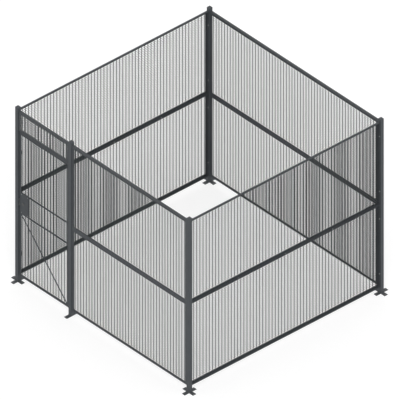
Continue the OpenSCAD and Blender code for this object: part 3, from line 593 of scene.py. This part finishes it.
def wire_panel(name, node, frame_node, i, body, bite=None):
    """The welded wires and the edge bar of one panel, which stand for its CAD node."""
    low, high = flat_box(frame_node, i)
    width, height = high.x - low.x, high.z - low.z
    ring = WEB + RING_GAP
    bite_in = bite and (bite[0] + RING_W, bite[1] - RING_W, bite[2] + RING_W)
    outer = outline(width, height, ring, bite)
    inner = outline(width, height, ring + RING_W, bite_in)
    edge_bar = link_mesh(name + "_edge", band(name + "_edge", outer, inner, WEB, WEB + RING_D))
    edge_bar.data.materials.append(frame_coat)
    wires = link_mesh(name + "_wire", bpy.data.meshes.new(name + "_wire"))
    across, first_x = spread(width, PITCH_X)
    up, first_z = spread(height, PITCH_Z)
    end = ring + RING_W / 2
    cut_low, cut_high = NO_CUT
    if bite:
        half_bar = RING_W / 2
        cut_low = Vector((0, 0, bite[1] - half_bar))
        cut_high = Vector((bite[0] + half_bar, 0, bite[2] + half_bar))
    cook(wires, rods, upright_count=across, level_count=up, first=(first_x, 0, first_z),
         pitch=(PITCH_X, 0, PITCH_Z), near=(end, 0, end), far=(width - end, 0, height - end),
         cut_low=cut_low, cut_high=cut_high, upright_r=UPRIGHT_R, level_r=LEVEL_R,
         upright_y=UPRIGHT_SET, level_y=LEVEL_SET, nugget=NUGGET, finish=wire_coat_with_shade)
    for piece, slot in ((edge_bar, "frame_paint"), (wires, "wire_paint")):
        piece.data.transform(wall(i) @ Matrix.Translation(low))
        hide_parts(node)
        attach(piece, body)
    return across, up


for i, side in enumerate(WALL_NAMES):
    for tier in ("lower", "upper"):
        panel = f"{side}_{tier}"
        counts = wire_panel(panel, panel + "_mesh", panel + "_frame", i, "cage")
    print(side, "panels have", counts, "wires each way")
print("transom", wire_panel("transom", "transom_mesh", "transom_frame", 0, "cage"))
case_low, case_high = flat_box("lock_case", 0)
door_low, door_high = flat_box("door_frame", 0)
CASE_ROOM = 0.3 * MM
bite = (case_high.x - door_low.x + CASE_ROOM, case_low.z - door_low.z - CASE_ROOM,
        case_high.z - door_low.z + CASE_ROOM)
print("door", wire_panel("door", "door_mesh", "door_frame", 0, "door", bite))

# %% [markdown]
# ## Weld beads
# A hand weld is a row of small overlapping ripples. The bead tree walks along the edges of a
# mesh that holds nothing but lines, sets a flattened ball every few millimetres, turns it along
# the line and varies its size a little with a fixed seed. Feeding it lines keeps the
# drawing of where the welds are apart from how a weld looks.

# %% The weld bead tree
beads, got = recipe("weld_bead", lines="geometry", ripple="number", width="number",
                    height="number", finish="material")
SEED = 7
RIPPLE_LEAST, RIPPLE_MOST = 0.85, 1.15
RIPPLE_OVERLAP = 2.2

walk = put(beads, "GeometryNodeMeshToCurve", {0: got["lines"]})[0]
feeds = {"Curve": walk, "Length": got["ripple"]}
steps = put(beads, "GeometryNodeCurveToPoints", feeds, mode="LENGTH")
drop = put(beads, "GeometryNodeMeshIcoSphere", {"Radius": 0.5, "Subdivisions": 1})[0]
round_drop = put(beads, "GeometryNodeSetShadeSmooth", {"Geometry": drop})[0]
feeds = {2: RIPPLE_LEAST, 3: RIPPLE_MOST, "Seed": SEED}
random = put(beads, "FunctionNodeRandomValue", feeds, data_type="FLOAT")[1]
size = join(beads, calc(beads, "MULTIPLY", got["width"], random),
            calc(beads, "MULTIPLY", got["height"], random),
            calc(beads, "MULTIPLY", got["ripple"], RIPPLE_OVERLAP))
feeds = {"Points": steps["Points"], "Instance": round_drop,
         "Rotation": steps["Rotation"], "Scale": size}
serve(beads, [put(beads, "GeometryNodeInstanceOnPoints", feeds)[0]], got["finish"])


def weld(name, lines, body, slot, coat, ripple, width, height):
    """Beads along straight lines, each given by its two ends in the cage."""
    points = [p for line in lines for p in line]
    mesh = bpy.data.meshes.new(name)
    mesh.from_pydata(points, [(k, k + 1) for k in range(0, len(points), 2)], [])
    piece = link_mesh(name, mesh)
    cook(piece, beads, ripple=ripple, width=width, height=height, finish=coat)
    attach(piece, body)
    print(name, len(lines), "beads,", len(piece.data.polygons), "faces")


print("weld bead tree has", len(beads.nodes), "nodes")

# %% [markdown]
# ## Welds in the frame corners
# Each frame is four mitred bars, welded inside the corner across the web and up the flange. The
# beads could be drawn one by one, but every corner is alike, so their lines are worked out from
# the box of each frame and stay on the corners whatever its size.

# %% Mitres of the angle frames
def mitres(frame_node, i):
    """Weld lines inside the four corners of a frame, across the web and up the flange."""
    low, high = flat_box(frame_node, i)
    stand = wall(i)
    lines = []
    for x, dx in ((low.x, 1), (high.x, -1)):
        for z, dz in ((low.z, 1), (high.z, -1)):
            corner = Vector((x + dx * WEB, low.y + WEB, z + dz * WEB))
            toe = Vector((x + dx * LEG, low.y + WEB, z + dz * LEG))
            tip = Vector((corner.x, low.y + LEG, corner.z))
            lines += [(stand @ corner, stand @ toe), (stand @ corner, stand @ tip)]
    return lines


frame_nodes = [(f"{side}_{tier}_frame", i)
               for i, side in enumerate(WALL_NAMES) for tier in ("lower", "upper")]
cage_frames = frame_nodes + [("transom_frame", 0)]
cage_lines = [line for node, i in cage_frames for line in mitres(node, i)]
MITRE_BEAD = {"ripple": 2.0 * MM, "width": 4.0 * MM, "height": 1.6 * MM}
weld("frame_welds", cage_lines, "cage", "frame_paint", frame_coat, **MITRE_BEAD)
weld("door_welds", mitres("door_frame", 0), "door", "frame_paint", frame_coat, **MITRE_BEAD)

# %% [markdown]
# ## Welds round the posts
# A post stands on flat bars and is welded to them where they run out from under it. A list of
# sides for each foot would do, but the foot's size already tells them: a crossed foot is long
# both ways, and the one beside the door only one way.

# %% Posts on their feet
def round_post(node):
    """Weld lines where a post meets the foot bars that run out from it."""
    low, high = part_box(node)
    spread_x, spread_y = high.x - low.x, high.y - low.y
    cx, cy = (low.x + high.x) / 2, (low.y + high.y) / 2
    r = POST_W / 2
    lines = []
    for s in (-1, 1):
        if spread_x > FOOT_L / 2:
            lines.append(((cx + s * r, cy - r, FOOT_T), (cx + s * r, cy + r, FOOT_T)))
        if spread_y > FOOT_L / 2:
            lines.append(((cx - r, cy + s * r, FOOT_T), (cx + r, cy + s * r, FOOT_T)))
    return [tuple(Vector(p) for p in line) for line in lines]


foot_nodes = ["foot_left", "foot_front", "foot_right", "foot_back", "foot_jamb"]
foot_lines = [line for node in foot_nodes for line in round_post(node)]
FOOT_BEAD = {"ripple": 2.6 * MM, "width": 6.0 * MM, "height": 6.0 * MM}
weld("foot_welds", foot_lines, "cage", "post_paint", post_coat, **FOOT_BEAD)

# %% [markdown]
# ## Bolts
# The panels hang on flange bolts that run into threaded inserts in the posts, and where two
# panels are stacked, the same bolts join their rails. One bolt is built from primitives inside
# the tree, and stands on every point of a list. Each point carries an "aim" attribute, so that
# one tree serves bolts that point to all sides.

# %% The bolt tree
bolts, got = recipe("flange_bolt", seats="geometry", across_flats="number", head="number",
                    flange_r="number", flange_t="number", shank_r="number", shank="number",
                    finish="material")
CHAMFER = 0.18
FLANGE_TAPER, CROWN_TAPER = 0.9, 0.84
FLANGE_SIDES, HEX_SIDES, SHANK_SIDES = 20, 6, 12
HEX_ROUND = 1 / math.cos(math.radians(30))


def disc(tree, sides, low_r, top_r, z, depth):
    """A frustum that stands on z."""
    feeds = {"Vertices": sides, "Radius Top": top_r, "Radius Bottom": low_r, "Depth": depth}
    cone = put(tree, "GeometryNodeMeshCone", feeds)[0]
    return put(tree, "GeometryNodeTransform", {"Geometry": cone, "Translation": join(tree, z=z)})[0]


hex_r = calc(bolts, "MULTIPLY", got["across_flats"], HEX_ROUND / 2)
body_h = calc(bolts, "MULTIPLY", got["head"], 1 - CHAMFER)
crown_h = calc(bolts, "MULTIPLY", got["head"], CHAMFER)
flange_r, shank_r = got["flange_r"], got["shank_r"]
flange_top = calc(bolts, "MULTIPLY", flange_r, FLANGE_TAPER)
crown_top = calc(bolts, "MULTIPLY", hex_r, CROWN_TAPER)
tip = calc(bolts, "MULTIPLY", got["shank"], -1)
parts = [disc(bolts, FLANGE_SIDES, flange_r, flange_top, 0.0, got["flange_t"]),
         disc(bolts, HEX_SIDES, hex_r, hex_r, 0.0, body_h),
         disc(bolts, HEX_SIDES, hex_r, crown_top, body_h, crown_h),
         disc(bolts, SHANK_SIDES, shank_r, shank_r, tip, got["shank"])]
shape = bolts.nodes.new("GeometryNodeJoinGeometry")
for part in parts:
    bolts.links.new(part, shape.inputs[0])
aim = put(bolts, "GeometryNodeInputNamedAttribute", {"Name": "aim"}, data_type="FLOAT_VECTOR")[0]
turn = put(bolts, "FunctionNodeAlignRotationToVector", {"Vector": aim}, axis="Z")[0]
seats = put(bolts, "GeometryNodeMeshToPoints", {0: got["seats"]})[0]
feeds = {"Points": seats, "Instance": shape.outputs[0], "Rotation": turn}
serve(bolts, [put(bolts, "GeometryNodeInstanceOnPoints", feeds)[0]], got["finish"])
print("flange bolt tree has", len(bolts.nodes), "nodes")

# %% [markdown]
# ## Where the bolts sit
# Each panel end is held by two bolts, near its bottom and top, and the rails of stacked panels
# are joined at even steps. The places could be read off the CAD solids, but they would have to be
# sorted first. They follow from a few sizes of the CAD source, so they are worked out again.

# %% Places and directions of the bolts
BOLT_Y = 9.4 * MM
INSERT_FLANGE = 1.5 * MM
JAMB_X = -584.2 * MM
SEAT = POST_W / 2 + INSERT_FLANGE + WEB
BOLT_END, TRANSOM_END, SPLICE_STEP = 203.2 * MM, 63.5 * MM, 762 * MM
BOLT = {"across_flats": 10 * MM, "head": 4.6 * MM, "shank_r": 3 * MM,
        "flange_r": 6 * MM, "flange_t": 1.2 * MM}


def heights(node, i, end):
    """Bolt heights near the bottom and top of a panel."""
    low, high = flat_box(node, i)
    return [low.z + end, high.z - end]


panel_heights = [z for tier in ("lower", "upper")
                 for z in heights(f"right_{tier}_frame", 1, BOLT_END)]
transom_heights = heights("transom_frame", 0, TRANSOM_END)
rows = [(i, side * HALF, -side, panel_heights) for i in (1, 2, 3) for side in (-1, 1)]
rows += [(0, HALF, -1, panel_heights), (0, JAMB_X, 1, panel_heights),
         (0, -HALF, 1, transom_heights), (0, JAMB_X, -1, transom_heights)]
panel_seats = []
for i, x, way, bolt_heights in rows:
    stand = wall(i)
    out = stand.to_3x3() @ Vector((way, 0, 0))
    panel_seats += [(stand @ Vector((x + way * SEAT, BOLT_Y, z)), out) for z in bolt_heights]
splice_seats = []
for i, side in enumerate(WALL_NAMES):
    low, high = flat_box(f"{side}_lower_frame", i)
    count = math.floor((high.x - low.x - SPLICE_STEP / 2) / SPLICE_STEP)
    for k in range(count):
        x = (low.x + high.x) / 2 + (k - (count - 1) / 2) * SPLICE_STEP
        splice_seats.append((wall(i) @ Vector((x, BOLT_Y, high.z + WEB)), Vector((0, 0, 1))))
print(len(panel_seats), "panel bolts and", len(splice_seats), "splice bolts")

# %% Set the bolts
PANEL_SHANK, SPLICE_SHANK = 14 * MM, 13 * MM


def set_bolts(name, node, places, shank):
    """Bolts on a list of (place, aim), in place of a CAD node."""
    mesh = bpy.data.meshes.new(name)
    mesh.from_pydata([place for place, _ in places], [], [])
    aims = mesh.attributes.new("aim", "FLOAT_VECTOR", "POINT")
    for k, (_, way) in enumerate(places):
        aims.data[k].vector = way
    piece = link_mesh(name, mesh)
    cook(piece, bolts, shank=shank, finish=zinc_plate, **BOLT)
    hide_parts(node)
    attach(piece, "cage")
    print(name, len(piece.data.polygons), "faces")


set_bolts("panel_bolt_set", "panel_bolts", panel_seats, PANEL_SHANK)
set_bolts("splice_bolt_set", "splice_bolts", splice_seats, SPLICE_SHANK)

# %% [markdown]
# ## Rounding the edges
# Bars are rolled, plates are sheared and deburred, and the coat rounds them further, so no real
# edge is a knife edge: each catches a thin line of light. A copy of the CAD mesh is merged,
# slivers without area are dropped, because a bevel would tear the plate open along them, flat
# faces are joined up, and a Bevel modifier rounds what is left. Faces that meet at more than
# SHARP_ANGLE keep an edge between them, so plates stay flat and barrels turn smooth. The CAD node
# is replaced, never changed. Each entry says how far the edges of its pieces are rounded.

# %% Soften a copy of a CAD node
FLAT_ANGLE, EDGE_ANGLE, SHARP_ANGLE = math.radians(1), math.radians(35), math.radians(20)
MERGE = 0.00001
BEVEL_STEPS = 2


def soften(node, body, coat, radius):
    """A copy of a CAD node with rounded edges."""
    bm = bmesh.new()
    bm.from_mesh(frame["nodes"][node].data)
    bmesh.ops.remove_doubles(bm, verts=bm.verts, dist=MERGE)
    bmesh.ops.dissolve_degenerate(bm, dist=MERGE, edges=bm.edges)
    bmesh.ops.dissolve_limit(bm, angle_limit=FLAT_ANGLE, verts=bm.verts, edges=bm.edges)
    mesh = bpy.data.meshes.new(node + "_soft")
    bm.to_mesh(mesh)
    bm.free()
    mesh.materials.clear()
    mesh.materials.append(coat)
    piece = link_mesh(node + "_soft", mesh)
    bevel = piece.modifiers.new("round", "BEVEL")
    bevel.width = radius
    bevel.segments = BEVEL_STEPS
    bevel.limit_method = "ANGLE"
    bevel.angle_limit = EDGE_ANGLE
    rounded = freeze(piece)
    rounded.shade_smooth()
    rounded.set_sharp_from_angle(angle=SHARP_ANGLE)
    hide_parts(node)
    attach(piece, body)
    return len(piece.data.polygons)


bodies = frame["record"]["behaviour"]["bodies"]
body_of = {node: body for body, nodes in bodies.items() for node in nodes}
slot_of = {part["node"]: part["material_slot"] for part in frame["record"]["subparts"]}
coats = {"post_paint": post_coat, "frame_paint": frame_coat, "wire_paint": wire_coat_with_shade,
         "zinc_plate": zinc_plate, "satin_metal": satin_nickel, "black_nickel": black_nickel,
         "bumper_rubber": bumper_rubber}
rounding = {0.8 * MM: [node for node, _ in frame_nodes] + ["transom_frame", "door_frame"],
            0.6 * MM: ["door_bar_upper", "door_bar_lower", "door_brace", "lock_case", "lock_cover",
                       "post_caps", "stop_clips"] + foot_nodes,
            0.4 * MM: ["stop_bumpers", "strike_plate", "thumb_rose", "lock_cylinder",
                       "thumb_turn", "deadbolt"]}
for radius, nodes in rounding.items():
    for node in nodes:
        faces = soften(node, body_of[node], coats[slot_of[node]], radius)
        print(node, faces, "faces")

# %% [markdown]
# ## Finish the rest
# Whatever CAD node still shows, such as the post tubes, hinges and small screws, has the right
# shape already and only needs its finish.

# %% Coat the CAD nodes that stay
for name, node in frame["nodes"].items():
    if not node.hide_render:
        node.data.materials.clear()
        node.data.materials.append(coats[slot_of[name]])
        print(name, "is finished with", slot_of[name])

# %% [markdown]
# ## Hand over
# The size of the dressed model is printed, so a piece that strays outside the CAD shows in the
# numbers. It is measured last, when every piece is made.

# %% Measure the dressed model
low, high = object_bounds()
print("visual size", [round(v, 4) for v in high - low])
